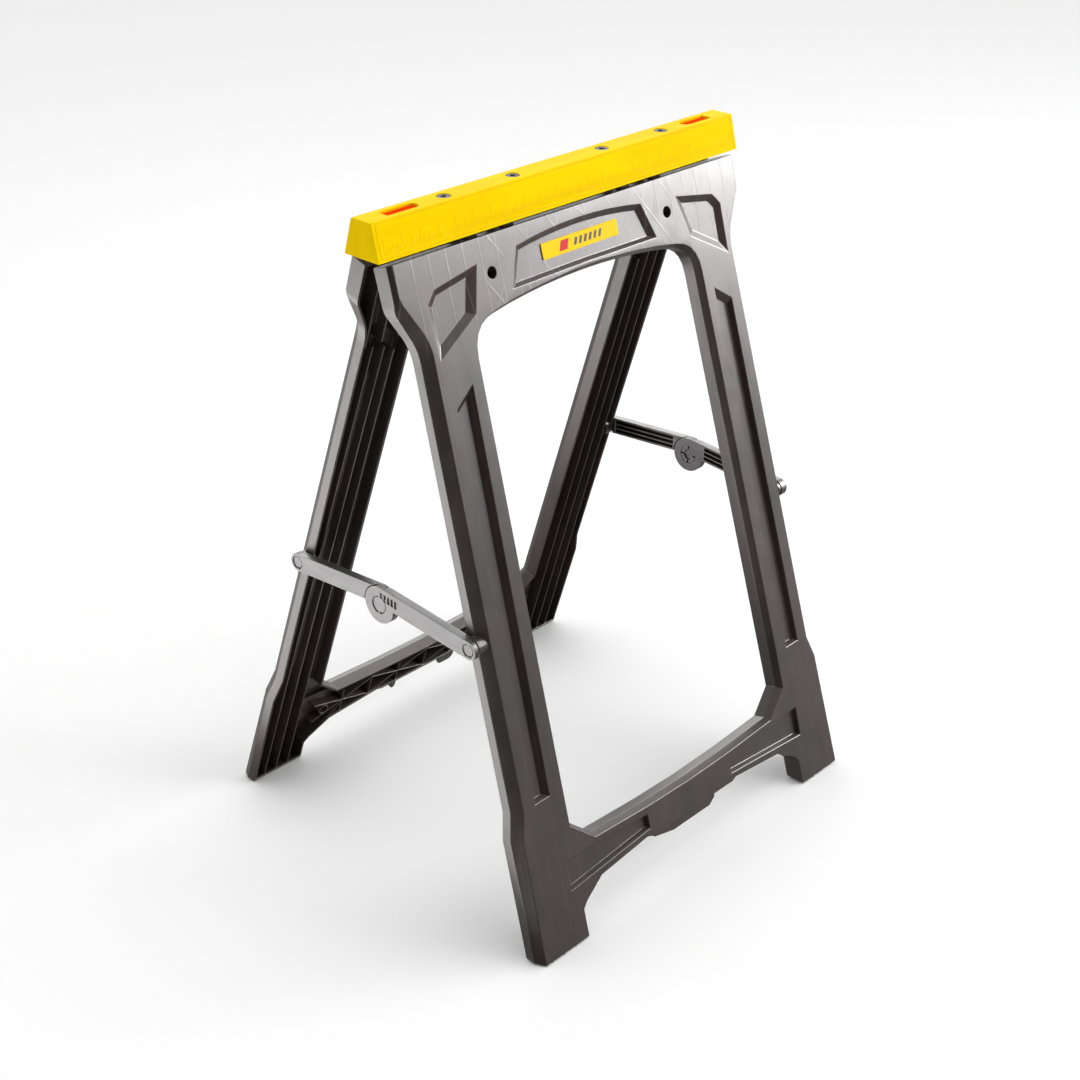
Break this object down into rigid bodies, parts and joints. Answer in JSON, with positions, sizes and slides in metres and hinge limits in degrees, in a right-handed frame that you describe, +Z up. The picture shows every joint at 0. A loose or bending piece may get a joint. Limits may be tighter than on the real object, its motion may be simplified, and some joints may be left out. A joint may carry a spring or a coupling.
{
  "type": "folding sawhorse",
  "caption": "Folding sawhorse: a hollow trapezoid beam on moulded leg frames that hinge under it, held open at each end by a two-link folding brace.",
  "frame": {"origin": "floor level, midway between the four feet, under the middle of the beam", "axes": "+Z up, +X along the beam to the right, the labelled front faces -Y"},
  "size_m": [0.58, 0.5262, 0.8],
  "materials": {
    "yellow_plastic": "satin moulded",
    "red_plastic": "satin moulded",
    "black_steel": "blackened",
    "zinc_steel": "zinc plated",
    "frame_plastic": "semi-gloss moulded",
    "brace_plastic": "satin moulded",
    "label": "printed film, plain"
  },
  "bodies": {
    "beam": {"beam_cap": "yellow_plastic", "insert_left": "red_plastic", "insert_right": "red_plastic", "cap_screw_1": "black_steel", "cap_screw_2": "black_steel", "cap_screw_3": "black_steel", "cap_screw_4": "black_steel", "hinge_bracket_left": "zinc_steel", "hinge_bracket_right": "zinc_steel", "front_hinge_rod": "zinc_steel", "rear_hinge_rod": "zinc_steel"},
    "front_leg": {"front_frame": "frame_plastic", "front_label": "label"},
    "rear_leg": {"rear_frame": "frame_plastic"},
    "left_outer_link": {"left_front_link": "brace_plastic", "left_front_pin": "brace_plastic", "left_knee_pin": "brace_plastic"},
    "left_inner_link": {"left_rear_link": "brace_plastic", "left_rear_pin": "brace_plastic"},
    "right_outer_link": {"right_rear_link": "brace_plastic", "right_rear_pin": "brace_plastic", "right_knee_pin": "brace_plastic"},
    "right_inner_link": {"right_front_link": "brace_plastic", "right_front_pin": "brace_plastic"}
  },
  "joints": [
    {"name": "front_fold", "type": "hinge", "parent": "beam", "child": "front_leg", "pos_m": [0, -0.013, 0.765], "axis": [1, 0, 0], "range_deg": [0, 17.25]},
    {"name": "rear_fold", "type": "hinge", "parent": "beam", "child": "rear_leg", "pos_m": [0, 0.013, 0.765], "axis": [-1, 0, 0], "range_deg": [0, 17.25]},
    {"name": "left_brace_swing", "type": "hinge", "parent": "front_leg", "child": "left_outer_link", "pos_m": [-0.27, -0.13799, 0.35775], "axis": [1, 0, 0], "range_deg": [0, 67.94]},
    {"name": "left_knee", "type": "hinge", "parent": "left_outer_link", "child": "left_inner_link", "pos_m": [-0.27, 0, 0.35775], "axis": [1, 0, 0], "range_deg": [-170.37, 0]},
    {"name": "right_brace_swing", "type": "hinge", "parent": "rear_leg", "child": "right_outer_link", "pos_m": [0.27, 0.13799, 0.35775], "axis": [-1, 0, 0], "range_deg": [0, 67.94]},
    {"name": "right_knee", "type": "hinge", "parent": "right_outer_link", "child": "right_inner_link", "pos_m": [0.27, 0, 0.35775], "axis": [-1, 0, 0], "range_deg": [-170.37, 0]}
  ],
  "couplings": [
    {"joint": "rear_fold", "follows": "front_fold", "ratio": 1},
    {"joint": "left_brace_swing", "follows": "front_fold", "ratio": 3.9378},
    {"joint": "left_knee", "follows": "front_fold", "ratio": -9.8757},
    {"joint": "right_brace_swing", "follows": "front_fold", "ratio": 3.9378},
    {"joint": "right_knee", "follows": "front_fold", "ratio": -9.8757}
  ]
}
